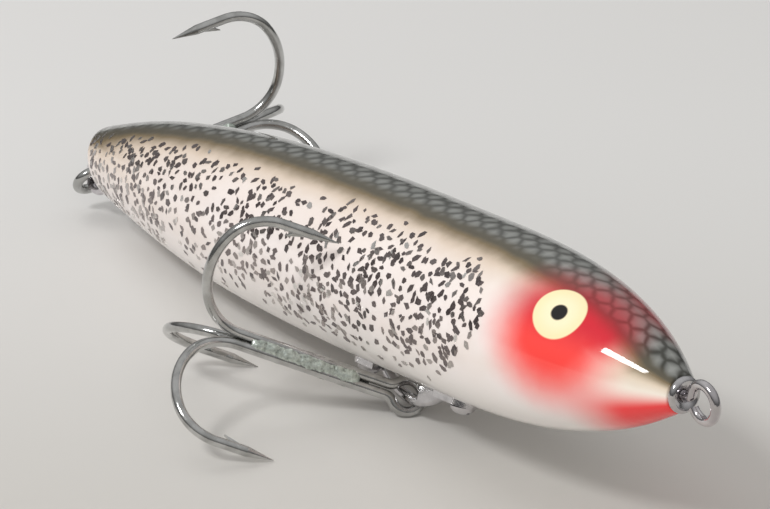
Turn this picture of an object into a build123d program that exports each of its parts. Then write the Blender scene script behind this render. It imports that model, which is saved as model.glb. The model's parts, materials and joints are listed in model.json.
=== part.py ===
"""Topwater walking bait: a hollow two-half plastic lure body with its hardware and two treble hooks.

Everything is drawn in the lure's own frame, in millimetres: +X to the nose, +Y to the lure's left and
+Z to its back, with the origin on the body's axis. The last step lays the whole lure on a table, where
it leans on the points of its two trebles, and that is the frame that the parts are written in.
"""

import os
from math import atan2, cos, radians, sin, sqrt

from build123d import *

# ---- Driving dimensions -------------------------------------------------------------------------

# Body: (place along the axis, radius) from the nose to past the tail, which is then cut on a slant.
NOSE_X = 55.0
TAIL_X = -62.0
BELLY_R = 10.65            # radius where the belly hanger sits
BODY_OUTLINE = [
    (NOSE_X, 2.2),
    (50.0, 4.9),
    (42.0, 8.0),
    (30.0, 10.2),
    (15.0, BELLY_R),
    (0.0, 10.7),
    (-15.0, 10.35),
    (-30.0, 9.3),
    (-45.0, 7.05),
    (TAIL_X, 3.7),
]
TAIL_SLANT = 35.0          # degrees that the tail face leans under
TAIL_FACE = (-56.1, -0.9)  # where the tail washer sits (x, z)
TAIL_SINK = 0.5            # how deep the washer's round pocket is in the tail face
TAIL_POCKET_GAP = 0.2      # room round the washer in its pocket
TAIL_ROUND = 1.0
TAIL_BEND_X = -42.0        # behind here the back falls towards the tail and the belly stays straight
TAIL_END_X = -55.5
TAIL_DROP = 0.42           # fall of the body's middle at TAIL_END_X; its radius shrinks as much
TAIL_STEP = 3.0            # spacing of the round sections behind TAIL_BEND_X
WALL = 1.6
BEYOND = 80.0              # size of cutting blocks, past the body on every side
CAVITY_FRONT = 38.0
CAVITY_REAR = -43.0
RIB = 1.3                  # thickness of the cross walls inside the body
RIB_PLACES = (24.0, -8.0, -30.0, -39.0)

# Ballast slug, held in the two rear cross walls
BALLAST_R = 3.4
BALLAST_LENGTH = 11.0
BALLAST_X = -34.5
BALLAST_Z = -2.0
BALLAST_CHAMFER = 0.4

# Halves: pins on the left half, sockets in the right one (x, z)
PIN_R = 0.9
PIN_LENGTH = 1.6
PIN_ROOT = 1.0             # how far a pin reaches back into the left half
PIN_SLACK = 0.05
PIN_PLACES = [(45.5, 3.6), (21.0, -8.0), (-48.5, -2.6)]

# Screw eyes: one at the nose for the line and one at the tail for a treble
EYE_WIRE = 0.6
EYE_RING = 2.08            # radius of the ring's centre line
EYE_BLEND = 0.9            # radius of the bend between shank and ring
EYE_OPENING = 30.0         # degrees of the ring left open beside the shank
EYE_HEIGHT = 3.85          # from washer seat to ring centre
NOSE_EYE_TWIST = 16.0      # degrees that the nose ring is turned out of upright
THREAD_ROOT = 0.5
THREAD_CREST = 0.78
THREAD_PITCH = 0.75
THREAD_TURNS = 10
PLAIN_SHANK = 1.5          # smooth shank between the ring's bend and the thread
BORE_SLACK = 0.02          # gap round the screws and the ballast
BORE_SPARE = 3.0           # how far a screw's bore goes on past it

# Cup washers
CUP_NOSE_R = 2.15
CUP_TAIL_R = 2.4
CUP_HEIGHT = 1.0
CUP_HOLE = 0.66
CUP_DISH = 0.35            # thickness left under the dished middle

# Belly hanger: a stamped strap with a raised bridge that the treble's eye goes round
BRIDGE_X = 9.4
BRIDGE_HALF = 6.8
BRIDGE_DEPTH = 3.2         # from the belly to the bridge's outer face
BRIDGE_THICK = 1.15
BRIDGE_WIDTH = 1.3
BRIDGE_EDGE = 0.4          # rounding of the bridge's long edges
BRIDGE_FOOT = 1.4          # length of each of the bridge's feet
CHEEK_X = 11.0             # in front of here the bridge is deep, and stops short of the belly
CHEEK_GAP = 0.55
PLATE_THICK = 0.8
PLATE_WIDTH = 4.0
HANGER_SCREWS = (0.6, 18.6)
SCREW_HEAD_R = 1.6
SCREW_HEAD_H = 0.95
SCREW_LENGTH = 5.2
SCREW_NECK = 0.8
SLOT_WIDTH = 0.4
BOSS_TOP = -5.2            # height of the moulded block that the hanger screws bite into
BOSS_HALF = 2.6
BOSS_MARGIN = 3.0
RELIEF_GAP = 0.5           # room round the treble's eye in the shallow hollow over the bridge
RELIEF_HALF = 2.8

# Treble hooks
HOOK_WIRE = 0.62
SHANK_OFFSET = 0.77        # from the shank's middle to each of its three wires
TREBLE_EYE = 1.86          # radius of the eye's centre line
TREBLE_EYE_BLEND = 1.5
SHANK_TO_BEND = 20.9
BEND = [(6.2, 60.0), (8.7, 55.0), (5.6, 65.0)]   # (radius, degrees) of each arc round the bend
LEG = 3.7                  # straight leg between the bend and the start of the point
POINT = 3.3
BARB_LENGTH = 2.9
BARB_ANGLE = 25.0
BARB_BACK = 3.6            # from the point's tip to the barb's root
BARB_HALF_THICK = 0.16
TIP_R = 0.04
BRAZE_R = 1.12
BRAZE_SPAN = (6.0, 19.5)
SINGLE_START = 4.6         # where the brazed third hook starts on the shank
OVERLAP = 1.0              # how far pieces of one wire run into each other before they are joined

# How the two trebles lie: shank direction, and the direction of the hook that stands up
BELLY_EYE_X = 8.2
BELLY_EYE_REST = 0.06      # how far the eye's axis lies above the bridge's middle
BELLY_SHANK = Vector(-0.45, -0.87, 0.19)
BELLY_UPPER_HOOK = Vector(0.26, 0.07, 0.96)
TAIL_SHANK = Vector(0.27, 0.84, 0.46)
TAIL_UPPER_HOOK = Vector(0.08, -0.50, 0.86)

# How the lure lies: nose raised by LIE_PITCH, then rolled by LIE_ROLL onto its left side
LIE_PITCH = 5.5
LIE_ROLL = 14.06


# ---- Body ---------------------------------------------------------------------------------------

def turned(points):
    """Solid of revolution about X through (x, radius) points."""
    top = Spline(*points)
    front = Line((points[0][0], 0), points[0])
    back = Line(points[-1], (points[-1][0], 0))
    axis = Line((points[-1][0], 0), (points[0][0], 0))
    return revolve(make_face([front, top, back, axis]), axis=Axis.X)


def block(low, high):
    """Box between two corners."""
    size = [h - l for l, h in zip(low, high)]
    middle = [(h + l) / 2 for l, h in zip(low, high)]
    return Pos(*middle) * Box(*size)


def rod(radius, length, direction, start):
    """Cylinder from a start point along a direction."""
    return Plane(origin=start, z_dir=direction) * Pos(0, 0, length / 2) * Cylinder(radius, length)


TAIL_OUT = Vector(-cos(radians(TAIL_SLANT)), 0, -sin(radians(TAIL_SLANT)))
TAIL_SEAT = Vector(TAIL_FACE[0], 0, TAIL_FACE[1])
NOSE_OUT = Vector(1, 0, 0)
NOSE_SEAT = Vector(NOSE_X, 0, 0)
BRIDGE_MIDDLE_Z = -BELLY_R - BRIDGE_DEPTH + BRIDGE_THICK / 2
BELLY_PIVOT = Vector(BELLY_EYE_X, 0, BRIDGE_MIDDLE_Z + BELLY_EYE_REST)
TAIL_PIVOT = TAIL_SEAT + TAIL_OUT * (EYE_HEIGHT + EYE_RING)


def radius_at(x):
    """Radius of the body's outline at a place along the axis."""
    outline = Spline(*BODY_OUTLINE)
    nose_share, tail_share = 0.0, 1.0
    for _ in range(30):
        share = (nose_share + tail_share) / 2
        if (outline @ share).X > x:
            nose_share = share
        else:
            tail_share = share
    return (outline @ nose_share).Y


def tail_section(x):
    """Round section of the tail, lowered as the back falls away."""
    drop = TAIL_DROP * ((x - TAIL_BEND_X) / (TAIL_END_X - TAIL_BEND_X)) ** 2
    return Plane(origin=(x, 0, -drop), x_dir=(0, 0, 1), z_dir=(-1, 0, 0)) * Circle(radius_at(x) - drop)


def body_outside():
    """The body's outer shape: a turned cigar whose back falls to a slanted, rounded tail face."""
    front = turned(BODY_OUTLINE) & block((TAIL_BEND_X, -BEYOND, -BEYOND), (BEYOND, BEYOND, BEYOND))
    sections = int((TAIL_BEND_X - TAIL_X) / TAIL_STEP)
    places = [TAIL_BEND_X - TAIL_STEP * section for section in range(sections + 1)]
    whole = front + loft([tail_section(x) for x in places])
    face = Plane(origin=TAIL_SEAT + TAIL_OUT * TAIL_SINK, z_dir=TAIL_OUT)
    cut = whole - face * Pos(0, 0, BEYOND / 2) * Box(BEYOND, BEYOND, BEYOND)
    rim = cut.faces().sort_by(Axis.X)[0].edges()
    return fillet(rim, TAIL_ROUND)


def body_inside():
    """The hollow of the body, with its cross walls and the block under the hanger left standing."""
    inner = [(x, r - WALL) for x, r in BODY_OUTLINE[1:-1]]
    hollow = turned(inner) & block((CAVITY_REAR, -BEYOND, -BEYOND), (CAVITY_FRONT, BEYOND, BEYOND))
    for place in RIB_PLACES:
        hollow -= block((place - RIB / 2, -BEYOND, -BEYOND), (place + RIB / 2, BEYOND, BEYOND))
    boss_low = (HANGER_SCREWS[0] - BOSS_MARGIN, -BOSS_HALF, -BEYOND)
    boss_high = (HANGER_SCREWS[1] + BOSS_MARGIN, BOSS_HALF, BOSS_TOP)
    return hollow - block(boss_low, boss_high)


def body_halves():
    """Left and right shells, bored for the ballast and the screws, with pins and sockets."""
    body = body_outside() - body_inside()
    ballast_front = BALLAST_X + BALLAST_LENGTH / 2
    body -= rod(BALLAST_R + BORE_SLACK, BALLAST_LENGTH, (-1, 0, 0), (ballast_front, 0, BALLAST_Z))
    bore = THREAD_CREST + BORE_SLACK
    depth = THREAD_PITCH * THREAD_TURNS + BORE_SPARE
    body -= rod(bore, depth, -NOSE_OUT, NOSE_SEAT)
    body -= rod(bore, depth, -TAIL_OUT, TAIL_SEAT)
    body -= rod(CUP_TAIL_R + TAIL_POCKET_GAP, CUP_HEIGHT, TAIL_OUT, TAIL_SEAT)
    for x in HANGER_SCREWS:
        body -= rod(bore, SCREW_LENGTH + BORE_SPARE, (0, 0, 1), (x, 0, -BELLY_R - PLATE_THICK))
    relief_start = (BELLY_EYE_X - RELIEF_HALF, 0, BELLY_PIVOT.Z)
    body -= rod(TREBLE_EYE + HOOK_WIRE + RELIEF_GAP, RELIEF_HALF * 2, (1, 0, 0), relief_start)
    left = body & block((-BEYOND, 0, -BEYOND), (BEYOND, BEYOND, BEYOND))
    right = body & block((-BEYOND, -BEYOND, -BEYOND), (BEYOND, 0, BEYOND))
    for x, z in PIN_PLACES:
        left += rod(PIN_R, PIN_LENGTH + PIN_ROOT, (0, -1, 0), (x, PIN_ROOT, z))
        right -= rod(PIN_R + PIN_SLACK, PIN_LENGTH + PIN_SLACK, (0, -1, 0), (x, 0, z))
    return left, right


def ballast():
    """Steel slug that makes the lure sit tail down."""
    slug = Cylinder(BALLAST_R, BALLAST_LENGTH)
    slug = chamfer(slug.edges(), BALLAST_CHAMFER)
    return Pos(BALLAST_X, 0, BALLAST_Z) * Rot(0, 90, 0) * slug


# ---- Hardware -----------------------------------------------------------------------------------

def threaded_shank(length):
    """Pointed shank down -Z from the origin, its thread drawn as rings."""
    points = [(0, 0), (EYE_WIRE, 0)]
    height = -(length - THREAD_PITCH * THREAD_TURNS)
    points.append((EYE_WIRE, height))
    for turn in range(THREAD_TURNS):
        start = height - turn * THREAD_PITCH
        points.append((THREAD_ROOT, start - THREAD_PITCH * 0.2))
        points.append((THREAD_CREST, start - THREAD_PITCH * 0.5))
        points.append((THREAD_ROOT, start - THREAD_PITCH * 0.8))
    points.append((0, points[-1][1] - 1.0))
    outline = Plane.XZ * make_face(Polyline(*points, close=True))
    return revolve(outline, axis=Axis.Z)


def screw_eye(seat, out, side):
    """Wire screw eye standing out of its seat: shank, bend and open ring in the plane of out and side."""
    joined = EYE_RING + EYE_BLEND
    reach = sqrt(joined ** 2 - EYE_BLEND ** 2)
    bend_start = (EYE_HEIGHT - reach, 0)
    bend_end = (EYE_HEIGHT - EYE_RING * reach / joined, EYE_RING * EYE_BLEND / joined)
    half_bend = atan2(reach, EYE_BLEND) / 2
    bend_middle = (
        bend_start[0] + EYE_BLEND * sin(half_bend),
        EYE_BLEND - EYE_BLEND * cos(half_bend),
    )
    ring_far = (EYE_HEIGHT + EYE_RING, 0)
    open_angle = radians(180 + EYE_OPENING)
    ring_end = (EYE_HEIGHT + EYE_RING * cos(open_angle), EYE_RING * sin(open_angle))
    route = Wire([
        Line((0, 0), bend_start),
        ThreePointArc(bend_start, bend_middle, bend_end),
        ThreePointArc(bend_end, ring_far, ring_end),
    ])
    wire = sweep(Plane(origin=(0, 0, 0), z_dir=(1, 0, 0)) * Circle(EYE_WIRE), path=route)
    shank = Rot(0, 90, 0) * threaded_shank(THREAD_PITCH * THREAD_TURNS + PLAIN_SHANK)
    return Plane(origin=seat, x_dir=out, z_dir=out.cross(side)) * (wire + shank)


def cup_washer(seat, out, radius):
    """Flared cup washer: a rounded rim round a dished middle."""
    outline = make_face([
        Line((CUP_HOLE, 0), (radius * 0.9, 0)),
        ThreePointArc((radius * 0.9, 0), (radius, CUP_HEIGHT * 0.45), (radius * 0.8, CUP_HEIGHT)),
        ThreePointArc((radius * 0.8, CUP_HEIGHT), (radius * 0.62, CUP_HEIGHT * 0.86), (CUP_HOLE, CUP_DISH)),
        Line((CUP_HOLE, CUP_DISH), (CUP_HOLE, 0)),
    ])
    return Plane(origin=seat, z_dir=out) * revolve(Plane.XZ * outline, axis=Axis.Z)


def belly_hanger():
    """Stamped strap under the belly: two tabs that lie on the body and a raised bridge."""
    skin = turned([(x, r + PLATE_THICK) for x, r in BODY_OUTLINE[2:-2]]) - turned(BODY_OUTLINE)
    middle = sum(HANGER_SCREWS) / 2
    length = HANGER_SCREWS[1] - HANGER_SCREWS[0] + PLATE_WIDTH
    low = -BELLY_R - BRIDGE_DEPTH
    footprint = Pos(middle, 0, low) * extrude(SlotOverall(length, PLATE_WIDTH), BELLY_R)
    gap_half = BRIDGE_HALF - PLATE_THICK - 0.1
    gap = block((BRIDGE_X - gap_half, -PLATE_WIDTH, -BEYOND), (BRIDGE_X + gap_half, PLATE_WIDTH, 0))
    tabs = (skin & footprint) - gap
    for x in HANGER_SCREWS:
        tabs -= rod(THREAD_CREST + 0.1, BELLY_R, (0, 0, 1), (x, 0, low))
    left = BRIDGE_X - BRIDGE_HALF
    right = BRIDGE_X + BRIDGE_HALF
    top = -BELLY_R - 0.02
    inner_left = left + BRIDGE_FOOT
    inner_right = right - BRIDGE_FOOT
    inner = ThreePointArc((inner_left, top), (BRIDGE_X, low + BRIDGE_THICK), (inner_right, top))
    crescent = make_face([
        ThreePointArc((left, top), (BRIDGE_X, low), (right, top)),
        Line((right, top), (inner_right, top)),
        inner,
        Line((inner_left, top), (left, top)),
    ])
    bridge = extrude(Plane.XZ * crescent, BRIDGE_WIDTH / 2, both=True)
    bridge = bridge - turned(BODY_OUTLINE)
    long_edges = bridge.edges().filter_by(GeomType.CIRCLE).sort_by(SortBy.LENGTH)[-4:]
    bridge = fillet(long_edges, BRIDGE_EDGE)
    half_moon = make_face([
        ThreePointArc((left, top), (BRIDGE_X, low), (right, top)),
        Line((right, top), (left, top)),
    ])
    cheek = extrude(Plane.XZ * half_moon, BRIDGE_WIDTH / 2, both=True)
    cheek &= block((CHEEK_X, -BEYOND, -BEYOND), (BEYOND, BEYOND, -BELLY_R - CHEEK_GAP))
    cheek = fillet(cheek.edges().filter_by(GeomType.CIRCLE).sort_by(SortBy.LENGTH)[-2:], BRIDGE_EDGE)
    return tabs + bridge + cheek


def hanger_screw(x):
    """Slotted round-head screw, driven up into the belly."""
    head = make_face([
        Line((0, 0), (SCREW_HEAD_R, 0)),
        ThreePointArc((SCREW_HEAD_R, 0), (SCREW_HEAD_R * 0.72, SCREW_HEAD_H * 0.72), (0, SCREW_HEAD_H)),
        Line((0, SCREW_HEAD_H), (0, 0)),
    ])
    dome = revolve(Plane.XZ * head, axis=Axis.Z)
    dome -= Pos(0, 0, SCREW_HEAD_H) * Box(SCREW_HEAD_R * 3, SLOT_WIDTH, SLOT_WIDTH * 2)
    turns = int((SCREW_LENGTH - SCREW_NECK) / THREAD_PITCH)
    points = [(0, 0), (EYE_WIRE, 0), (EYE_WIRE, -SCREW_NECK)]
    for turn in range(turns):
        start = -SCREW_NECK - turn * THREAD_PITCH
        points.append((THREAD_CREST, start - THREAD_PITCH * 0.5))
        points.append((THREAD_ROOT, start - THREAD_PITCH))
    points.append((0, points[-1][1] - 0.6))
    shank = revolve(Plane.XZ * make_face(Polyline(*points, close=True)), axis=Axis.Z)
    seat = (x, 0, -BELLY_R - PLATE_THICK - 0.05)
    return Plane(origin=seat, x_dir=(1, 0, 0), z_dir=(0, 0, -1)) * (dome + shank)


# ---- Treble hooks -------------------------------------------------------------------------------

def hook(start):
    """One hook in the XY plane: shank along +X at y = SHANK_OFFSET, bend, leg, point and barb."""
    path = Line((start, SHANK_OFFSET), (SHANK_TO_BEND, SHANK_OFFSET))
    pieces = [path]
    for radius, size in BEND:
        pieces.append(JernArc(pieces[-1] @ 1, pieces[-1] % 1, radius, size))
    leg = Line(pieces[-1] @ 1, pieces[-1] @ 1 + (pieces[-1] % 1) * LEG)
    pieces.append(leg)
    profile = Plane(origin=path @ 0, z_dir=(1, 0, 0)) * Circle(HOOK_WIRE)
    wire = sweep(profile, path=Wire(pieces))
    tip_base = leg @ 1
    point = Plane(origin=tip_base, z_dir=(-1, 0, 0)) * Pos(0, 0, POINT / 2) * Cone(HOOK_WIRE, TIP_R, POINT)
    tip_x = tip_base.X - POINT
    root = (tip_x + BARB_BACK, tip_base.Y)
    slope = radians(BARB_ANGLE)
    barb_tip = (root[0] + BARB_LENGTH * cos(slope), root[1] - BARB_LENGTH * sin(slope))
    barb = make_face(Polyline(
        (root[0] - 1.2, root[1] - 0.1),
        barb_tip,
        (root[0] + 1.3, root[1] - 0.1),
        close=True,
    ))
    return wire + point + extrude(barb, BARB_HALF_THICK, both=True)


def treble_eye():
    """Eye loop of the wire that makes two of the hooks, in the XY plane with its middle at 0, 0."""
    side = SHANK_OFFSET * sin(radians(60))
    centre_y = side + TREBLE_EYE_BLEND
    centre_x = sqrt((TREBLE_EYE + TREBLE_EYE_BLEND) ** 2 - centre_y ** 2)
    share = TREBLE_EYE / (TREBLE_EYE + TREBLE_EYE_BLEND)
    meet = Vector(centre_x * share, centre_y * share)
    centre = Vector(centre_x, centre_y)
    end = Vector(centre_x, side)
    halfway = (meet - centre).normalized() + (end - centre).normalized()
    middle = centre + halfway.normalized() * TREBLE_EYE_BLEND
    loop = Wire([
        Line((SHANK_TO_BEND, side), end),
        ThreePointArc(end, middle, meet),
        ThreePointArc(meet, (-TREBLE_EYE, 0), (meet.X, -meet.Y)),
        ThreePointArc((meet.X, -meet.Y), (middle.X, -middle.Y), (end.X, -end.Y)),
        Line((end.X, -end.Y), (SHANK_TO_BEND, -side)),
    ])
    profile = Plane(origin=(SHANK_TO_BEND, side, 0), z_dir=(-1, 0, 0)) * Circle(HOOK_WIRE)
    return sweep(profile, path=loop)


def treble(eye, shank, upper):
    """The double hook bent from one wire, the single hook and the braze that joins them."""
    along = shank.normalized()
    up = (upper - along * upper.dot(along)).normalized()
    across = along.cross(up)
    spins = {name: radians(angle) for name, angle in (("upper", 0), ("single", 120), ("lower", 240))}
    away = {name: up * cos(a) + across * sin(a) for name, a in spins.items()}
    middle = eye + away["single"] * (SHANK_OFFSET / 2)

    def placed(shape, direction, origin):
        return Plane(origin=origin, x_dir=along, z_dir=along.cross(direction)) * shape

    eye_side = (away["upper"] - away["lower"]).normalized()
    double = placed(treble_eye(), eye_side, eye)
    for name in ("upper", "lower"):
        double += placed(hook(SHANK_TO_BEND - OVERLAP), away[name], middle)
    single = placed(hook(SINGLE_START), away["single"], middle)
    start = middle + along * BRAZE_SPAN[0]
    length = BRAZE_SPAN[1] - BRAZE_SPAN[0]
    braze = rod(BRAZE_R, length, along, start)
    for direction in away.values():
        wire_start = start - along * OVERLAP + direction * SHANK_OFFSET
        braze -= rod(HOOK_WIRE, length + OVERLAP * 2, along, wire_start)
    return double, single, braze


# ---- Assembly -----------------------------------------------------------------------------------

def lure():
    """Every piece in the lure's own frame, by node name."""
    upright = Vector(0, 0, 1)
    left = Vector(0, 1, 0)
    nose_side = upright * cos(radians(NOSE_EYE_TWIST)) - left * sin(radians(NOSE_EYE_TWIST))
    tail_side = TAIL_OUT.cross(left)
    pieces = {}
    pieces["body_shell_left"], pieces["body_shell_right"] = body_halves()
    pieces["tail_ballast"] = ballast()
    pieces["nose_screw_eye"] = screw_eye(NOSE_SEAT, NOSE_OUT, nose_side)
    pieces["nose_cup_washer"] = cup_washer(NOSE_SEAT, NOSE_OUT, CUP_NOSE_R)
    pieces["tail_screw_eye"] = screw_eye(TAIL_SEAT, TAIL_OUT, tail_side)
    pieces["tail_cup_washer"] = cup_washer(TAIL_SEAT, TAIL_OUT, CUP_TAIL_R)
    pieces["belly_hanger"] = belly_hanger()
    pieces["belly_hanger_screws"] = Compound([hanger_screw(x).solid() for x in HANGER_SCREWS])
    trebles = {
        "belly": treble(BELLY_PIVOT, BELLY_SHANK, BELLY_UPPER_HOOK),
        "tail": treble(TAIL_PIVOT, TAIL_SHANK, TAIL_UPPER_HOOK),
    }
    for place, parts in trebles.items():
        for kind, part in zip(("double_hook", "single_hook", "braze"), parts):
            pieces[f"{place}_treble_{kind}"] = part
    return pieces


def lying():
    """Turn from the lure's frame to the way that it lies on the table."""
    return Rot(-LIE_ROLL, 0, 0) * Rot(0, -LIE_PITCH, 0)


def main():
    turn = lying()
    pieces = {name: turn * piece for name, piece in lure().items()}
    box = Compound(list(pieces.values())).bounding_box()
    drop = Pos(-(box.min.X + box.max.X) / 2, -(box.min.Y + box.max.Y) / 2, -box.min.Z)
    os.makedirs("parts", exist_ok=True)
    for name, piece in pieces.items():
        export_step(drop * piece, f"parts/{name}.step")


if __name__ == "__main__":
    main()
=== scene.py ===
"""Looks of the topwater bait: airbrushed and clear-coated body, foil flitter, bright hardware.

Lengths inside the lure's own frame are in millimetres (+X nose, +Y left, +Z back); LURE carries
them to the row frame, which is in metres. Angles round the body run from the back.
"""

import json
import math
import random

import bmesh
import bpy
import numpy as np
from mathutils import Matrix, Vector, noise


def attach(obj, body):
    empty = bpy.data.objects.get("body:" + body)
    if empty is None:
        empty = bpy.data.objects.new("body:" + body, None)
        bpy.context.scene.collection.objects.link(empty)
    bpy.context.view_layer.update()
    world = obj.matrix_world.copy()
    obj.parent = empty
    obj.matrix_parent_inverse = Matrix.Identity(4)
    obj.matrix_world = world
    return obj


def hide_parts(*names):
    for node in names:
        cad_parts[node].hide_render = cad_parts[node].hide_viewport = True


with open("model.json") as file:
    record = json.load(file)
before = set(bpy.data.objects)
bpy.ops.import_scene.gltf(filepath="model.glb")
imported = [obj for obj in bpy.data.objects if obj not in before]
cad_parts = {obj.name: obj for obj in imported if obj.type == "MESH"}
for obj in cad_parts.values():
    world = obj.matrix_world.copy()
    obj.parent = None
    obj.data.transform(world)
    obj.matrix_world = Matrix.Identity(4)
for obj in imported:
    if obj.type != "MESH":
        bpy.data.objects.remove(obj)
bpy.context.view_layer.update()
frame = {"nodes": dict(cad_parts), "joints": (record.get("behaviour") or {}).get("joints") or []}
nodes = frame["nodes"]
MM = 0.001

# ---- The lure's own frame, from the joints -------------------------------------------------------

TAIL_SLANT = math.radians(35.0)
BELLY_PIVOT = Vector((8.2, 0.0, -13.215))


def lure_frame():
    """Matrix from the lure's frame in millimetres to the row frame in metres."""
    joints = {joint["name"]: joint for joint in frame["joints"]}
    belly = joints["belly_treble_swing"]
    x_axis = Vector(belly["axis"]).normalized()
    tail_axis = Vector(joints["tail_treble_swing"]["axis"]).normalized()
    z_axis = (tail_axis + x_axis * math.sin(TAIL_SLANT)).normalized()
    y_axis = z_axis.cross(x_axis).normalized()
    turn = Matrix((x_axis, y_axis, z_axis)).transposed()
    origin = Vector(belly["pos_m"]) - turn @ BELLY_PIVOT * MM
    return Matrix.Translation(origin) @ turn.to_4x4() @ Matrix.Scale(MM, 4)


LURE = lure_frame()

# ---- Body outline --------------------------------------------------------------------------------

# Distance along the lure and radius, from the nose to beyond the tail
OUTLINE = [
    (55.0, 2.2), (50.0, 4.9), (42.0, 8.0), (30.0, 10.2), (15.0, 10.65),
    (0.0, 10.7), (-15.0, 10.35), (-30.0, 9.3), (-45.0, 7.05), (-62.0, 3.7),
]
OUTLINE_SAMPLES = 1200
NOSE_ROUND = 0.25
TAIL_SEAT = (-56.1, -0.9)  # x and z of the place on the tail face where the washer sits
TAIL_SINK = 0.5            # depth of the washer's pocket
TAIL_POCKET_R = 2.6
TAIL_ROUND = 1.0
TAIL_BEND_X = -42.0        # behind this the body's middle falls
TAIL_END_X = -55.5
TAIL_DROP = 0.42           # how far it has fallen at TAIL_END_X


class Spline:
    """Natural cubic through the outline's points, by chord length."""

    def __init__(self, points):
        self.values = np.array(points)
        steps = np.hypot(*np.diff(self.values, axis=0).T)
        self.knots = np.concatenate([[0.0], np.cumsum(steps)])
        count = len(points)
        matrix = np.eye(count)
        right = np.zeros((count, 2))
        for i in range(1, count - 1):
            matrix[i, i - 1] = steps[i - 1]
            matrix[i, i] = 2 * (steps[i - 1] + steps[i])
            matrix[i, i + 1] = steps[i]
            slopes = np.diff(self.values[i - 1:i + 2], axis=0) / steps[i - 1:i + 1, None]
            right[i] = 6 * (slopes[1] - slopes[0])
        self.bends = np.linalg.solve(matrix, right)

    def at(self, where):
        """Point at a distance along the knots."""
        i = int(np.clip(np.searchsorted(self.knots, where) - 1, 0, len(self.knots) - 2))
        step = self.knots[i + 1] - self.knots[i]
        b = (where - self.knots[i]) / step
        a = 1 - b
        straight = a * self.values[i] + b * self.values[i + 1]
        bend = (a ** 3 - a) * self.bends[i] + (b ** 3 - b) * self.bends[i + 1]
        return straight + bend * step ** 2 / 6


SPLINE = Spline(OUTLINE)
SAMPLES = np.array([SPLINE.at(t) for t in np.linspace(0, SPLINE.knots[-1], OUTLINE_SAMPLES)])


def drop_at(x):
    """Fall of the body's middle behind the bend, where the back runs down to the tail."""
    return TAIL_DROP * (min(0.0, x - TAIL_BEND_X) / (TAIL_END_X - TAIL_BEND_X)) ** 2


def radius_at(x):
    """Body radius at a place along the axis."""
    return float(np.interp(x, SAMPLES[::-1, 0], SAMPLES[::-1, 1])) - drop_at(x)


def tail_face_x(radius, angle):
    """Where the slanted tail face stands, at a radius and an angle from the back."""
    x = TAIL_SEAT[0]
    for _ in range(6):
        height = radius * math.cos(angle) - drop_at(x)
        x = TAIL_SEAT[0] - TAIL_SINK / math.cos(TAIL_SLANT)
        x -= math.tan(TAIL_SLANT) * (height - TAIL_SEAT[1])
    return x


def sink_pocket(point):
    """Press a point of the tail face down into the round pocket that the washer sits in."""
    out = Vector((-math.cos(TAIL_SLANT), 0.0, -math.sin(TAIL_SLANT)))
    away = point - Vector((TAIL_SEAT[0], 0.0, TAIL_SEAT[1]))
    along = away.dot(out)
    if along < 0.5 * TAIL_SINK or (away - out * along).length > TAIL_POCKET_R:
        return point
    return point - out * along


def skin_point(x, angle, lift=0.0):
    """Point above the skin and the skin's normal; positive angles are on the lure's right side."""
    step = 0.2
    slope = (radius_at(x + step) - radius_at(x - step)) / (2 * step)
    slope -= (drop_at(x + step) - drop_at(x - step)) / (2 * step) * math.cos(angle)
    normal = Vector((-slope, -math.sin(angle), math.cos(angle))).normalized()
    radius = radius_at(x)
    point = Vector((x, -radius * math.sin(angle), radius * math.cos(angle) - drop_at(x)))
    return point + normal * lift, normal


# ---- Mesh helpers --------------------------------------------------------------------------------

def new_object(name, points, faces, material, smooth=True):
    """Mesh object from points in the lure's frame."""
    mesh = bpy.data.meshes.new(name)
    mesh.from_pydata([LURE @ Vector(p) for p in points], [], faces)
    mesh.materials.append(material)
    mesh.polygons.foreach_set("use_smooth", [smooth] * len(mesh.polygons))
    mesh.update()
    made = bpy.data.objects.new(name, mesh)
    bpy.context.scene.collection.objects.link(made)
    return made


def add_vectors(made, name, vectors):
    """Vector attribute, one per vertex."""
    attribute = made.data.attributes.new(name, "FLOAT_VECTOR", "POINT")
    attribute.data.foreach_set("vector", np.array(vectors, np.float32).ravel())


# ---- Node helpers --------------------------------------------------------------------------------

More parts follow.
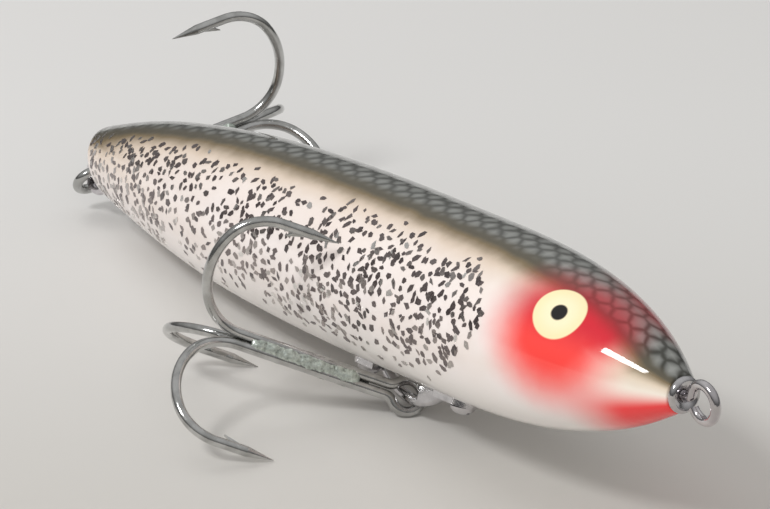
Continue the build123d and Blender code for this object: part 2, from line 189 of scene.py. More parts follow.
class Paper:
    """Short way to write a material's nodes. Values may be sockets or plain numbers and colours."""

    def __init__(self, name):
        self.material = bpy.data.materials.new(name)
        self.material.use_nodes = True
        self.tree = self.material.node_tree
        self.shader = self.tree.nodes["Principled BSDF"]

    def node(self, kind, **settings):
        """New node with some of its settings."""
        made = self.tree.nodes.new(kind)
        for key, value in settings.items():
            setattr(made, key, value)
        return made

    def join(self, socket, value):
        """Link a socket to another, or give it a plain value."""
        if isinstance(value, bpy.types.NodeSocket):
            self.tree.links.new(value, socket)
        elif value is not None:
            socket.default_value = value

    def math(self, operation, a, b=None, c=None):
        """One arithmetic step."""
        made = self.node("ShaderNodeMath", operation=operation)
        for socket, value in zip(made.inputs, (a, b, c)):
            self.join(socket, value)
        return made.outputs[0]

    def span(self, value, low, high, out_low=0.0, out_high=1.0):
        """Smooth step of a value from one range to another."""
        made = self.node("ShaderNodeMapRange", interpolation_type="SMOOTHSTEP")
        for socket, given in zip(made.inputs, (value, low, high, out_low, out_high)):
            self.join(socket, given)
        return made.outputs[0]

    def mix(self, share, a, b):
        """Colour between two, all a at share 0 and all b at share 1."""
        made = self.node("ShaderNodeMix", data_type="RGBA")
        self.join(made.inputs[0], share)
        for socket, value in ((made.inputs[6], a), (made.inputs[7], b)):
            self.join(socket, value)
        return made.outputs[2]

    def ramp(self, share, stops):
        """Colour from a ramp of (place, colour) stops."""
        made = self.node("ShaderNodeValToRGB")
        elements = made.color_ramp.elements
        while len(elements) < len(stops):
            elements.new(0.5)
        for element, (place, colour) in zip(elements, stops):
            element.position = place
            element.color = colour
        self.join(made.inputs[0], share)
        return made.outputs[0]

    def noise(self, vector, scale, detail=2.0, rough=0.5):
        """Cloudy value around a half."""
        made = self.node("ShaderNodeTexNoise")
        self.join(made.inputs["Vector"], vector)
        made.inputs["Scale"].default_value = scale
        made.inputs["Detail"].default_value = detail
        made.inputs["Roughness"].default_value = rough
        return made.outputs["Fac"]

    def parts(self, vector):
        """The three components of a vector."""
        made = self.node("ShaderNodeSeparateXYZ")
        self.join(made.inputs[0], vector)
        return made.outputs

    def attribute(self, name, output="Vector"):
        """Attribute that the mesh carries."""
        return self.node("ShaderNodeAttribute", attribute_name=name).outputs[output]

    def place(self):
        """Point in the row frame, in millimetres."""
        where = self.node("ShaderNodeTexCoord").outputs["Object"]
        made = self.node("ShaderNodeVectorMath", operation="SCALE")
        self.join(made.inputs[0], where)
        made.inputs["Scale"].default_value = 1 / MM
        return made.outputs[0]

    def distance_to(self, where, target):
        """Distance from a moving point to a fixed one."""
        made = self.node("ShaderNodeVectorMath", operation="DISTANCE")
        self.join(made.inputs[0], where)
        made.inputs[1].default_value = target
        return made.outputs["Value"]

    def bump(self, height, strength, distance):
        """Normal of a relief."""
        made = self.node("ShaderNodeBump")
        made.inputs["Strength"].default_value = strength
        made.inputs["Distance"].default_value = distance
        self.join(made.inputs["Height"], height)
        return made.outputs[0]

    def set(self, **sockets):
        """Shader sockets by name, with _ for a space."""
        for name, value in sockets.items():
            self.join(self.shader.inputs[name.replace("_", " ")], value)


def srgb(red, green, blue):
    """Linear colour with alpha, from display values out of 255."""
    def linear(value):
        value /= 255
        return value / 12.92 if value <= 0.04045 else ((value + 0.055) / 1.055) ** 2.4
    return (linear(red), linear(green), linear(blue), 1.0)


def grey(value):
    """Linear grey with alpha."""
    return (value, value, value, 1.0)


# ---- Paint ---------------------------------------------------------------------------------------

PEARL = srgb(251, 242, 239)
PEARL_CLOUD = srgb(248, 237, 232)
NOSE_CREAM = srgb(255, 247, 236)
BELLY_WHITE = srgb(250, 245, 241)

SCALE_DARK = srgb(112, 113, 109)
SCALE_LIGHT = srgb(130, 131, 127)
SCALE_MIDDLE = srgb(144, 145, 141)
NET_LINE = srgb(84, 84, 80)
NET_LINE_NOSE = srgb(58, 58, 52)
EDGE_OLIVE = srgb(86, 80, 66)
EDGE_BROWN = srgb(132, 114, 84)
EDGE_TAN = srgb(204, 176, 138)
NET_X = 1.75               # half the spacing of the scale net's rows along the lure
NET_ARC = 2.5              # spacing of the scales round the back
BAND_LEAST = 2.75          # half width of the band: this, and
BAND_SHARE = 0.195         # this share of the body's radius
BAND_NOSE = 1.0            # its factor at the nose
BAND_REST = 1.18           # and behind the head
BAND_LIMIT = math.radians(62.0)
# How much the band covers, by half of what band_edge gives
BAND_COVER = ((0.50, 1.0), (0.56, 0.84), (0.66, 0.48), (0.78, 0.18), (0.95, 0.0))

# Cheek reds: the upper red is darker as painted shade, the lower red brighter as painted light
RED_UPPER_PAINTED_SHADE = srgb(212, 30, 48)
RED_LOWER_PAINTED_LIGHT = srgb(255, 76, 70)
RED_OVER_BAND = srgb(140, 38, 42)
RED_OVER_SCALE = srgb(174, 62, 68)
RED_CHIN = srgb(252, 64, 66)
# Cheek sprays: x, degrees from the back, radius that is fully red, radius where the red has gone
SPRAYS = ((41.0, 68.0, 3.5, 11.4), (44.0, 42.0, 3.0, 8.6))

EYE_X = 40.2
EYE_ANGLE = math.radians(52.5)
EYE_R = 3.2
PUPIL_R = 1.0
IRIS_INNER_R = 1.2
IRIS_INNER = srgb(254, 241, 202)
IRIS_OUTER = srgb(250, 235, 186)
PUPIL_BLACK = srgb(14, 12, 12)


class Skin:
    """Where a point of the painted skin lies, as sockets that the coats of paint share.

    The lure attribute holds x, the distance from the middle plane and the height. The skin
    attribute holds x, the arc from the back and the angle from the back.
    """

    def __init__(self, paper):
        self.where = paper.attribute("lure")
        self.x, self.side, self.height = paper.parts(self.where)
        _, self.arc, self.angle = paper.parts(paper.attribute("skin"))
        self.radius = paper.math("DIVIDE", self.arc, paper.math("MAXIMUM", self.angle, 0.01))


def on_either_side(x, angle):
    """Place on the skin as the lure attribute gives it, the same for both sides."""
    spot, _ = skin_point(x, angle)
    return (spot.x, abs(spot.y), spot.z)


def pearl_ground(paper, skin):
    """Pearl white, creamier at the nose and whiter under the belly."""
    cloud = paper.noise(skin.where, 0.12, 3.0)
    ground = paper.mix(paper.span(cloud, 0.3, 0.7), PEARL, PEARL_CLOUD)
    ground = paper.mix(paper.span(skin.x, 44.0, 51.0), ground, NOSE_CREAM)
    return paper.mix(paper.span(skin.height, -3.0, -9.5), ground, BELLY_WHITE)


def scale_net(paper, skin):
    """Distance in millimetres to the nearest line of the scale net."""
    sway = paper.math("MULTIPLY_ADD", paper.noise(skin.where, 0.22), 1.3, -0.65)
    drift = paper.math("MULTIPLY_ADD", paper.noise(skin.where, 0.31), 1.1, -0.55)
    u = paper.math("PINGPONG", paper.math("ADD", skin.x, sway), NET_X)
    v = paper.math("PINGPONG", paper.math("ADD", skin.arc, drift), NET_ARC / 2)
    across = paper.math("MULTIPLY_ADD", u, -2 * NET_X, NET_X ** 2 + NET_ARC ** 2 / 4)
    lean = paper.math("MULTIPLY_ADD", v, -NET_ARC, across)
    reach = 2 * math.hypot(NET_X, NET_ARC / 2)
    slant = paper.math("DIVIDE", paper.math("ABSOLUTE", lean), reach)
    inner = paper.math("GREATER_THAN", lean, 0.0)
    far = paper.math("SUBTRACT", NET_ARC / 2, v)
    flat = paper.math("ADD", paper.math("MULTIPLY", inner, far),
                      paper.math("MULTIPLY", paper.math("SUBTRACT", 1.0, inner), v))
    return paper.math("MINIMUM", slant, flat)


def band_edge(paper, skin):
    """How far out on the back band a point is: 0 in its middle, 1 at its edge."""
    mist = paper.math("MULTIPLY_ADD", paper.noise(skin.where, 0.35, 3.0), 0.16, -0.08)
    width = paper.math("MULTIPLY_ADD", skin.radius, BAND_SHARE, BAND_LEAST)
    width = paper.math("MULTIPLY", width, paper.span(skin.x, 46.0, 33.0, BAND_NOSE, BAND_REST))
    edge = paper.math("DIVIDE", skin.side, width)
    edge = paper.math("MAXIMUM", edge, paper.math("DIVIDE", skin.angle, BAND_LIMIT))
    return paper.math("ADD", edge, mist)


def back_band(paper, skin, edge, net, cell, under):
    """Back band, sprayed from above through a scale net, with a soft tan edge."""
    shade = paper.noise(skin.where, 0.5, 1.0)
    scale = paper.mix(paper.span(shade, 0.35, 0.65), SCALE_DARK, SCALE_LIGHT)
    scale = paper.mix(paper.span(net, 0.3, 1.0), scale, SCALE_MIDDLE)
    line = paper.mix(paper.span(skin.x, 36.0, 48.0), NET_LINE, NET_LINE_NOSE)
    band = paper.mix(cell, line, scale)
    band = paper.mix(paper.span(edge, 0.52, 0.86), band, EDGE_OLIVE)
    band = paper.mix(paper.span(edge, 0.86, 1.06), band, EDGE_BROWN)
    band = paper.mix(paper.span(edge, 1.04, 1.34), band, EDGE_TAN)
    stops = [(place, grey(share)) for place, share in BAND_COVER]
    cover = paper.ramp(paper.math("MULTIPLY", edge, 0.5), stops)
    return paper.mix(cover, under, band)


def red_head(paper, skin, edge, cell, under):
    """Red cheeks round the eyes and red chin."""
    grain = paper.math("MULTIPLY_ADD", paper.noise(skin.where, 0.4, 4.0), 0.9, -0.45)
    sprays = []
    for x, degrees, full, clear in SPRAYS:
        away = paper.distance_to(skin.where, on_either_side(x, math.radians(degrees)))
        sprays.append(paper.span(paper.math("ADD", away, grain), clear, full))
    cheek = paper.math("MAXIMUM", *sprays)
    cheek = paper.math("MULTIPLY", cheek, paper.span(edge, 0.1, 0.9, 0.75, 1.0))
    # Painted shade and light: the cheek red darkens towards the back and brightens lower down
    low = paper.span(skin.angle, math.radians(50.0), math.radians(86.0))
    red = paper.mix(low, RED_UPPER_PAINTED_SHADE, RED_LOWER_PAINTED_LIGHT)
    red = paper.mix(paper.span(edge, 1.3, 0.75), red, RED_OVER_BAND)
    scale = paper.math("MULTIPLY", cell, paper.span(edge, 0.95, 0.7))
    red = paper.mix(scale, red, RED_OVER_SCALE)
    colour = paper.mix(cheek, under, red)
    chin_ahead = paper.span(paper.math("ADD", skin.x, grain), 41.5, 50.5)
    chin_below = paper.span(skin.angle, math.radians(94.0), math.radians(132.0))
    return paper.mix(paper.math("MULTIPLY", chin_ahead, chin_below), colour, RED_CHIN)


def painted_eye(paper, skin, under):
    """Flat painted eye: the colour with it, and the shares of iris and pupil."""
    eye = paper.distance_to(skin.where, on_either_side(EYE_X, EYE_ANGLE))
    iris = paper.span(eye, EYE_R + 0.14, EYE_R - 0.10)
    cream = paper.mix(paper.span(eye, IRIS_INNER_R, EYE_R), IRIS_INNER, IRIS_OUTER)
    colour = paper.mix(iris, under, cream)
    pupil = paper.span(eye, PUPIL_R + 0.12, PUPIL_R - 0.12)
    return paper.mix(pupil, colour, PUPIL_BLACK), iris, pupil


def paint_material():
    """Airbrushed coats under a clear gloss."""
    paper = Paper("airbrushed_paint")
    skin = Skin(paper)
    edge = band_edge(paper, skin)
    net = scale_net(paper, skin)
    cell = paper.span(net, 0.02, 0.50)
    colour = pearl_ground(paper, skin)
    colour = back_band(paper, skin, edge, net, cell, colour)
    colour = red_head(paper, skin, edge, cell, colour)
    colour, iris, pupil = painted_eye(paper, skin, colour)
    raised = paper.math("ADD", paper.math("MULTIPLY", iris, 0.6), pupil)
    orange_peel = paper.noise(skin.where, 0.9, 1.0)
    relief = paper.math("MULTIPLY_ADD", orange_peel, 0.5, raised)
    paper.set(
        Base_Color=colour,
        Roughness=paper.span(cell, 0.0, 1.0, 0.5, 0.6),
        Specular_IOR_Level=0.12,
        Coat_Weight=1.0,
        Coat_Roughness=0.03,
        Coat_IOR=1.5,
        IOR=1.45,
        Normal=paper.bump(relief, 0.15, 0.02 * MM),
    )
    return paper.material


# ---- Metals --------------------------------------------------------------------------------------

PIT_BROWN = srgb(74, 72, 64)


def metal(name, light, dark, rough, grain, pits=0.0):
    """Plated wire or plate: clouded tint, fine scratches and pits."""
    paper = Paper(name)
    place = paper.place()
    cloud = paper.noise(place, 0.55, 4.0)
    fine = paper.noise(place, grain, 3.0, 0.6)
    colour = paper.mix(paper.span(cloud, 0.36, 0.68), dark, light)
    spots = paper.span(paper.noise(place, 2.4, 2.0), 0.62, 0.74)
    colour = paper.mix(paper.math("MULTIPLY", spots, pits), colour, PIT_BROWN)
    paper.set(
        Base_Color=colour,
        Metallic=1.0,
        Roughness=paper.span(fine, 0.3, 0.75, rough * 0.75, rough * 1.5),
        Normal=paper.bump(fine, 0.2 + pits * 0.5, 0.03 * MM),
    )
    return paper.material


def braze_material():
    """Rough solder between the shanks."""
    paper = Paper("rough_braze")
    place = paper.place()
    coarse = paper.noise(place, 2.2, 5.0, 0.65)
    colour = paper.ramp(coarse, [
        (0.30, srgb(104, 108, 100)), (0.44, srgb(182, 190, 182)), (0.60, srgb(216, 224, 216)),
        (0.78, srgb(236, 240, 234)),
    ])
    paper.set(
        Base_Color=colour,
        Metallic=0.92,
        Roughness=paper.span(coarse, 0.3, 0.7, 0.55, 0.28),
        Normal=paper.bump(coarse, 0.7, 0.12 * MM),
    )
    return paper.material


def foil_material():
    """Crinkled foil, from smoky to bright by each flake's shade: painted reflections, the brightest
    painted glints.
    """
    paper = Paper("foil_flitter")
    shade = paper.attribute("shade", "Fac")
    place = paper.place()
    # Painted reflection: foil from dark to bright by each flake's shade, the top stop a painted glint
    colour = paper.ramp(shade, [
        (0.0, srgb(66, 57, 57)), (0.55, srgb(116, 104, 103)), (0.86, srgb(172, 162, 158)),
        (0.97, srgb(240, 236, 232)),
    ])
    crinkle = paper.noise(place, 3.0, 2.0)
    paper.set(
        Base_Color=colour,
        Metallic=paper.span(shade, 0.2, 0.9, 0.45, 1.0),
        Roughness=paper.span(crinkle, 0.3, 0.7, 0.22, 0.4),
        Coat_Weight=0.6,
        Coat_Roughness=0.05,
        Normal=paper.bump(crinkle, 0.25, 0.05 * MM),
    )
    return paper.material


# ---- Painted body --------------------------------------------------------------------------------

ROUND_STEPS = 144
LENGTH_STEPS = 230
FACE_STEPS = 22
CORNER_STEPS = 8
NOSE_STEPS = 4
NOSE_FACE_R = 1.2          # a ring of points on the flat end of the nose
NOSE_SLOPE_X = 1.0         # how far behind the nose its slope is taken
TAIL_SLOPE_X = 2.0         # how far ahead of the tail's rim its slope is taken
TAIL_SEARCH = (-62.0, -48.0)
RELIEF_R = 2.98            # radius of the hollow that the belly treble's eye turns in
RELIEF_SPAN = (5.3, 11.1)  # and where it lies along the lure


def corner(before, point, after, radius, steps=CORNER_STEPS):
    """Rounded corner between two directions, as points."""
    into = (before - point).normalized()
    out = (after - point).normalized()
    turn = math.pi - into.angle(out)
    reach = radius * math.tan(turn / 2)
    start, end = point + into * reach, point + out * reach
    weight = math.cos(turn / 2)
    points = []
    for step in range(steps + 1):
        t = step / steps
        shares = ((1 - t) ** 2, 2 * weight * t * (1 - t), t ** 2)
        total = sum(shares)
        points.append((start * shares[0] + point * shares[1] + end * shares[2]) / total)
    return points


def tail_rim_x(angle):
    """Where the body's side meets the slanted tail face, at an angle from the back."""
    low, high = TAIL_SEARCH
    for _ in range(40):
        guess = (low + high) / 2
        if guess < tail_face_x(radius_at(guess), angle):
            low = guess
        else:
            high = guess
    return high


def meridian(angle, tail_centre):
    """Body outline from the nose to the middle of the tail face, at an angle from the back."""
    rim_x = tail_rim_x(angle)
    tip = Vector((rim_x, radius_at(rim_x)))
    before = Vector((rim_x + TAIL_SLOPE_X, radius_at(rim_x + TAIL_SLOPE_X)))
    rounded = corner(before, tip, tail_centre, TAIL_ROUND)
    nose = Vector(OUTLINE[0])
    nose_middle = Vector((nose.x, 0.0))
    behind = Vector((nose.x - NOSE_SLOPE_X, radius_at(nose.x - NOSE_SLOPE_X)))
    nose_round = corner(nose_middle, nose, behind, NOSE_ROUND, NOSE_STEPS)
    start_x, end_x = nose_round[-1].x, rounded[0].x
    line = [nose_middle, Vector((nose.x, NOSE_FACE_R))] + nose_round
    for step in range(1, LENGTH_STEPS):
        x = start_x + (end_x - start_x) * (step / LENGTH_STEPS)
        line.append(Vector((x, radius_at(x))))
    line += rounded
    for step in range(1, FACE_STEPS):
        radius = rounded[-1].y * (1 - step / FACE_STEPS)
        line.append(Vector((tail_face_x(radius, angle), radius)))
    return line


def painted_body(material):
    """One skin over both moulded halves, with the hollow that the belly treble's eye turns in."""
    tail_centre = Vector((tail_face_x(0.0, 0.0), 0.0))
    points, lure, skin = [], [], []
    for column in range(ROUND_STEPS):
        angle = 2 * math.pi * column / ROUND_STEPS
        turned = angle if angle <= math.pi else angle - 2 * math.pi
        line = meridian(angle, tail_centre)
        for place in line:
            y, z = -place.y * math.sin(angle), place.y * math.cos(angle) - drop_at(place.x)
            if RELIEF_SPAN[0] < place.x < RELIEF_SPAN[1] and z < 0 and abs(y) < RELIEF_R:
                z = max(z, BELLY_PIVOT.z + math.sqrt(RELIEF_R ** 2 - y ** 2))
            spot = sink_pocket(Vector((place.x, y, z)))
            points.append(spot)
            lure.append((spot.x, abs(spot.y), spot.z))
            skin.append((place.x, place.y * abs(turned), abs(turned)))
    rows = len(line)
    end = len(points)
    points.append(sink_pocket(Vector((tail_centre.x, 0.0, -drop_at(tail_centre.x)))))
    lure.append(points[-1])
    skin.append((tail_centre.x, 0.0, 1.5))
    faces = []
    for column in range(ROUND_STEPS):
        a, b = column * rows, (column + 1) % ROUND_STEPS * rows
        faces.append((a, a + 1, b + 1))
        for row in range(1, rows - 1):
            faces.append((a + row, a + row + 1, b + row + 1, b + row))
        faces.append((a + rows - 1, end, b + rows - 1))
    made = new_object("painted_body", points, faces, material)
    add_vectors(made, "lure", lure)
    add_vectors(made, "skin", skin)
    shape = bmesh.new()
    shape.from_mesh(made.data)
    bmesh.ops.remove_doubles(shape, verts=shape.verts[:], dist=1e-7)
    bmesh.ops.recalc_face_normals(shape, faces=shape.faces[:])
    shape.to_mesh(made.data)
    shape.free()
    return made


# ---- Flitter -------------------------------------------------------------------------------------

FLAKES_PER_SIDE = 940
FLAKE_SEED = 11
FLAKE_X = (-57.5, 31.5)
FLAKE_DEGREES = (36.0, 147.0)
FLAKE_FRONT = (31.0, 84.0)  # the foremost flake's x and degrees from the back
FLAKE_FRONT_BEND = 330.0   # how slowly the front line curves back from there
FLAKE_TAIL_X = -56.0
FLAKE_TAIL_GAP = 1.6       # flank left bare at the tail's rim
FLAKE_TOP = 40.0           # degrees from the back where the flakes begin
FLAKE_TOP_FALL = 6.0       # how many degrees lower they begin at the tail
FLAKE_BOTTOM = 142.0
FLAKE_REAR = 0.62          # density at the rear, as a share of the density at the front
CLUMP_SCALE = (0.16, 0.028)
CLUMP_LEAST = 0.22
SPARSE_X = -21.0           # round here the flakes are sparser,
SPARSE_LOSS = 0.45         # by this share
FLAKE_LIFT = 0.012
FLAKE_THICK = 0.03
FLAKE_LENGTH = (0.38, 0.74)
FLAKE_WIDTH = (0.26, 0.48)
FLAKE_CORNERS = (4, 5, 5, 6, 6)
FLAKE_TILT = 0.03
FLAKE_ROOM = 0.95          # a flake nearer than this to another one is crowded
CROWDED_SKIPPED = 0.82     # share of the crowded flakes that are left out
# Flake shades are painted reflections of foil facing different ways; the bright ones are painted
# glints
FLAKE_REFLECTION_SHADES = (0.1, 0.25, 0.4, 0.5, 0.6, 0.7, 0.8, 0.88)
FLAKE_PALEST = 0.9
PAINTED_GLINT_SHARE = 0.04


def clamp(value):
    """Value held between 0 and 1."""
    return min(1.0, max(0.0, value))


def flake_density(x, degrees):
    """How likely a flake is to stay at a place on the flank."""
    front_x, front_degrees = FLAKE_FRONT
    front = front_x - abs(degrees - front_degrees) ** 2 / FLAKE_FRONT_BEND
    rim = tail_face_x(radius_at(FLAKE_TAIL_X), math.radians(degrees)) + FLAKE_TAIL_GAP
    if x > front or x < rim:
        return 0.0
    top = FLAKE_TOP + FLAKE_TOP_FALL * max(0.0, -x - 30.0) / 25.0
    upper = clamp((degrees - top) / 18.0)
    lower = clamp((FLAKE_BOTTOM - degrees) / 30.0)
    cloud = noise.noise(Vector((x * CLUMP_SCALE[0], degrees * CLUMP_SCALE[1], 3.7)))
    clump = min(1.0, max(CLUMP_LEAST, 0.78 + 1.5 * cloud))
    thin = 1.0 - SPARSE_LOSS * math.exp(-((x - SPARSE_X) / 4.0) ** 2)
    rear = FLAKE_REAR + (1 - FLAKE_REAR) * clamp((x + 50.0) / 50.0)
    return upper * lower * thin * rear * clump


def flake_outline(draw):
    """Irregular outline of one flake lying flat, and which way it leans."""
    spin = draw.uniform(0, math.pi)
    length, width = draw.uniform(*FLAKE_LENGTH), draw.uniform(*FLAKE_WIDTH)
    corners = draw.choice(FLAKE_CORNERS)
    tilt = Vector((draw.gauss(0, FLAKE_TILT), draw.gauss(0, FLAKE_TILT)))
    ring = []
    for index in range(corners):
        turn = 2 * math.pi * (index + draw.uniform(-0.28, 0.28)) / corners
        reach = draw.uniform(0.78, 1.12)
        flat = Vector((math.cos(turn) * length * reach, math.sin(turn) * width * reach))
        flat.rotate(Matrix.Rotation(spin, 2))
        ring.append(flat)
    return ring, tilt


def flake_painted_reflection(draw, x, degrees):
    """Painted reflection of one flake: paler low on the flank (partly painted light) and towards the
    tail, a few bright as painted glints.
    """
    low = max(0.0, (degrees - 95.0) / 45.0)
    rear = max(0.0, (-x - 20.0) / 35.0)
    shade = draw.choice(FLAKE_REFLECTION_SHADES) + (0.3 * low + 0.25 * rear)
    return 1.0 if draw.random() < PAINTED_GLINT_SHARE else min(shade, FLAKE_PALEST)


def flitter(material):
    """Irregular foil flakes set in the clear coat of both flanks."""
    draw = random.Random(FLAKE_SEED)
    points, faces, shades = [], [], []
    for side in (1, -1):
        placed = []
        while len(placed) < FLAKES_PER_SIDE:
            x, degrees = draw.uniform(*FLAKE_X), draw.uniform(*FLAKE_DEGREES)
            if draw.random() > flake_density(x, degrees):
                continue
            centre, normal = skin_point(x, side * math.radians(degrees), FLAKE_LIFT)
            crowded = any((centre - other).length < FLAKE_ROOM for other in placed)
            if crowded and draw.random() < CROWDED_SKIPPED:
                continue
            placed.append(centre)
            along = Vector((1, 0, 0))
            along = (along - normal * along.dot(normal)).normalized()
            across = normal.cross(along)
            ring, tilt = flake_outline(draw)
            shade = flake_painted_reflection(draw, x, degrees)
            first, corners = len(points), len(ring)
            for layer in (0.0, FLAKE_THICK):
                for flat in ring:
                    rise = layer + max(0.0, tilt.dot(flat)) - flat.y ** 2 / (2 * radius_at(x))
                    points.append(centre + along * flat.x + across * flat.y + normal * rise)
                    shades.append(shade)
            faces.append(list(range(first + corners, first + 2 * corners)))
            faces.append(list(range(first + corners - 1, first - 1, -1)))
            for index in range(corners):
                a, b = first + index, first + (index + 1) % corners
                faces.append((a, b, b + corners, a + corners))
    made = new_object("foil_flitter", points, faces, material, smooth=False)
    # Each flake's painted reflection, from dark foil to a painted glint
    attribute = made.data.attributes.new("shade", "FLOAT", "POINT")
    attribute.data.foreach_set("value", shades)
    return made


# ---- Braze ---------------------------------------------------------------------------------------

BRAZE_RINGS = 110
BRAZE_ROUND_STEPS = 72
BRAZE_R = 1.2
BRAZE_TAPER = 0.06         # share of the run's length that narrows at each end,
BRAZE_END = 0.72           # to this share of its radius
BRAZE_LUMPS = ((0.9, 0.14), (2.6, 0.07))   # how fine and how high the lumps are


def shank_of(node):
    """Ends of a braze node's middle line, in the row frame."""
    places = np.array([v.co for v in nodes[node].data.vertices])
    middle = places.mean(axis=0)
    _, _, axes = np.linalg.svd(places - middle, full_matrices=False)
    along = axes[0]
    reach = (places - middle) @ along
    return Vector(middle + along * reach.min()), Vector(middle + along * reach.max())


def lumpy_braze(name, node, material):
    """Uneven solder run down the shank: full between the three wires, with a rough skin over them."""
    start, end = shank_of(node)
    axis = (end - start).normalized()
    helper = axis.orthogonal().normalized()
    other = axis.cross(helper)
    length = (end - start).length
    inverse = LURE.inverted()
    points, faces = [], []
    for ring in range(BRAZE_RINGS + 1):
        share = ring / BRAZE_RINGS
        middle = start + axis * length * share
        full = min(1.0, share / BRAZE_TAPER, (1 - share) / BRAZE_TAPER) ** 0.5
        for step in range(BRAZE_ROUND_STEPS):
            turn = 2 * math.pi * step / BRAZE_ROUND_STEPS
            out = helper * math.cos(turn) + other * math.sin(turn)
            seat = middle / MM + out * BRAZE_R
            lump = sum(noise.noise(seat * fine) * high for fine, high in BRAZE_LUMPS)
            radius = (BRAZE_R + lump) * (BRAZE_END + (1 - BRAZE_END) * full)
            points.append(inverse @ (middle + out * radius * MM))
    for ring in range(BRAZE_RINGS):
        for step in range(BRAZE_ROUND_STEPS):
            after = (step + 1) % BRAZE_ROUND_STEPS
            a, b = ring * BRAZE_ROUND_STEPS, (ring + 1) * BRAZE_ROUND_STEPS
            faces.append((a + step, a + after, b + after, b + step))
    for ring, way in ((0, -1), (BRAZE_RINGS, 1)):
        loop = [ring * BRAZE_ROUND_STEPS + step for step in range(BRAZE_ROUND_STEPS)]
        faces.append(loop[::way])
    return new_object(name, points, faces, material)


# ---- Build ---------------------------------------------------------------------------------------

paint = paint_material()
foil = foil_material()
bright_wire = metal("bright_nickel_wire", srgb(228, 224, 226), srgb(198, 194, 197),
                    rough=0.10, grain=7.0)
bright_plate = metal("bright_nickel_plate", srgb(216, 214, 216), srgb(196, 194, 196),
                     rough=0.13, grain=5.0, pits=0.04)
hook_wire = metal("satin_hook_wire", srgb(206, 206, 205), srgb(180, 180, 178),
                  rough=0.14, grain=6.0, pits=0.05)
bare_steel = metal("bare_steel", srgb(150, 150, 148), srgb(110, 110, 108),
                   rough=0.4, grain=4.0, pits=0.2)
braze = braze_material()

body = painted_body(paint)
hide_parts("body_shell_left", "body_shell_right")
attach(body, "lure_body")

flakes = flitter(foil)
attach(flakes, "lure_body")

for place in ("belly", "tail"):
    solder = lumpy_braze(f"{place}_solder_run", f"{place}_treble_braze", braze)
    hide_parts(f"{place}_treble_braze")
    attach(solder, f"{place}_treble")

FINISHES = {
    "nose_screw_eye": bright_wire,
    "tail_screw_eye": bright_wire,
    "nose_cup_washer": bright_plate,
    "tail_cup_washer": bright_plate,
    "belly_hanger": bright_plate,
    "belly_hanger_screws": bright_plate,
    "tail_ballast": bare_steel,
    "belly_treble_double_hook": hook_wire,
    "belly_treble_single_hook": hook_wire,
    "tail_treble_double_hook": hook_wire,
    "tail_treble_single_hook": hook_wire,
}
for name, finish in FINISHES.items():
    for slot in nodes[name].material_slots:
        slot.material = finish

# ---- Floor, light and camera ---------------------------------------------------------------------

FLOOR_SIZE = 8.0
FLOOR_FAR = (-0.81, 0.58)  # the way across the floor that the painted shade of the falling-off light changes
FLOOR_SPAN = (-110.0, 90.0)
# Painted shade: the floor's near side is darker, as if the light fell off towards the camera
FLOOR_NEAR_PAINTED_SHADE = srgb(193, 189, 182)
FLOOR_FAR_GREY = srgb(222, 221, 218)
FLOOR_CLOUD_GREY = srgb(224, 222, 221)
SKY_STOPS = [(0.0, 0.15), (0.14, 0.2), (0.34, 0.50), (0.55, 0.72), (0.80, 0.88)]
SKY_STRENGTH = 0.6
CAMERA_AT = Vector((0.493878, -0.347708, 0.274995))
CAMERA_LENS = 262.6
CAMERA_AHEAD = Vector((-0.747171, 0.534414, -0.395142))
CAMERA_DOWN = Vector((0.339472, -0.204267, -0.918169))


def floor():
    """Plain pale plane with painted shade, a little darker on its near side where the light falls
    off.
    """
    paper = Paper("pale_floor")
    place = paper.place()
    cloud = paper.noise(place, 0.004, 2.0)
    x, y, _ = paper.parts(place)
    # Painted shade of the falling-off light, across the floor towards the camera's side
    sideways = paper.math("MULTIPLY", y, FLOOR_FAR[1])
    depth = paper.math("MULTIPLY_ADD", x, FLOOR_FAR[0], sideways)
    pale = paper.mix(cloud, FLOOR_FAR_GREY, FLOOR_CLOUD_GREY)
    paper.set(
        Base_Color=paper.mix(paper.span(depth, *FLOOR_SPAN), FLOOR_NEAR_PAINTED_SHADE, pale),
        Roughness=0.75,
    )
    bpy.ops.mesh.primitive_plane_add(size=FLOOR_SIZE, location=(0, 0, 0))
    made = bpy.context.object
    made.name = "studio_floor"
    made.data.materials.append(paper.material)
    return made


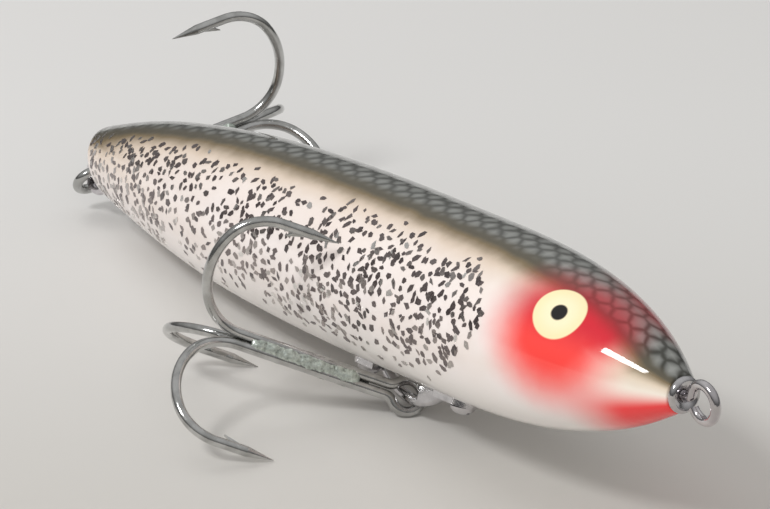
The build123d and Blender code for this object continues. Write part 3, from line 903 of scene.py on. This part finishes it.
def softbox(name, azimuth, elevation, distance, size, power, mirrored=True):
    """Area light that faces the lure, mirrored by glossy surfaces or not.

    Azimuth 0 is on the -Y side and 90 on the +X side.
    """
    light = bpy.data.lights.new(name, "AREA")
    light.shape = "RECTANGLE"
    light.size, light.size_y = size
    light.energy = power
    made = bpy.data.objects.new(name, light)
    a, e = math.radians(azimuth), math.radians(elevation)
    away = Vector((math.sin(a) * math.cos(e), -math.cos(a) * math.cos(e), math.sin(e)))
    made.location = away * distance
    made.rotation_mode = "QUATERNION"
    made.rotation_quaternion = away.to_track_quat("Z", "Y")
    made.visible_glossy = mirrored
    bpy.context.scene.collection.objects.link(made)


def sky():
    """Soft surroundings: bright overhead, darker towards the horizon."""
    world = bpy.data.worlds.new("studio")
    world.use_nodes = True
    bpy.context.scene.world = world
    tree = world.node_tree
    where = tree.nodes.new("ShaderNodeTexCoord")
    split = tree.nodes.new("ShaderNodeSeparateXYZ")
    ramp = tree.nodes.new("ShaderNodeValToRGB")
    tree.links.new(where.outputs["Generated"], split.inputs[0])
    tree.links.new(split.outputs["Z"], ramp.inputs[0])
    elements = ramp.color_ramp.elements
    while len(elements) < len(SKY_STOPS):
        elements.new(0.5)
    for element, (height, value) in zip(elements, SKY_STOPS):
        element.position = height
        element.color = (value, value, value * 0.99, 1.0)
    tree.links.new(ramp.outputs[0], tree.nodes["Background"].inputs["Color"])
    tree.nodes["Background"].inputs["Strength"].default_value = SKY_STRENGTH


def camera():
    """Camera ahead of the lure's right side, looking down on it."""
    data = bpy.data.cameras.new("camera")
    data.lens = CAMERA_LENS
    data.sensor_width = 36.0
    data.clip_start, data.clip_end = 0.05, 20.0
    made = bpy.data.objects.new("camera", data)
    ahead = CAMERA_AHEAD.normalized()
    right = CAMERA_DOWN.cross(ahead).normalized()
    up = right.cross(ahead).normalized()
    turn = Matrix((right, up, -ahead)).transposed()
    made.matrix_world = Matrix.Translation(CAMERA_AT) @ turn.to_4x4()
    bpy.context.scene.collection.objects.link(made)
    bpy.context.scene.camera = made


floor()
softbox("key", azimuth=5, elevation=49, distance=0.9, size=(0.20, 0.16), power=3.0)
softbox("fill", azimuth=48, elevation=20, distance=1.0, size=(0.9, 0.9), power=3.9,
        mirrored=False)
softbox("side", azimuth=272, elevation=47, distance=0.75, size=(0.42, 0.42), power=1.2,
        mirrored=False)
sky()
camera()
bpy.context.scene.view_settings.view_transform = "Standard"
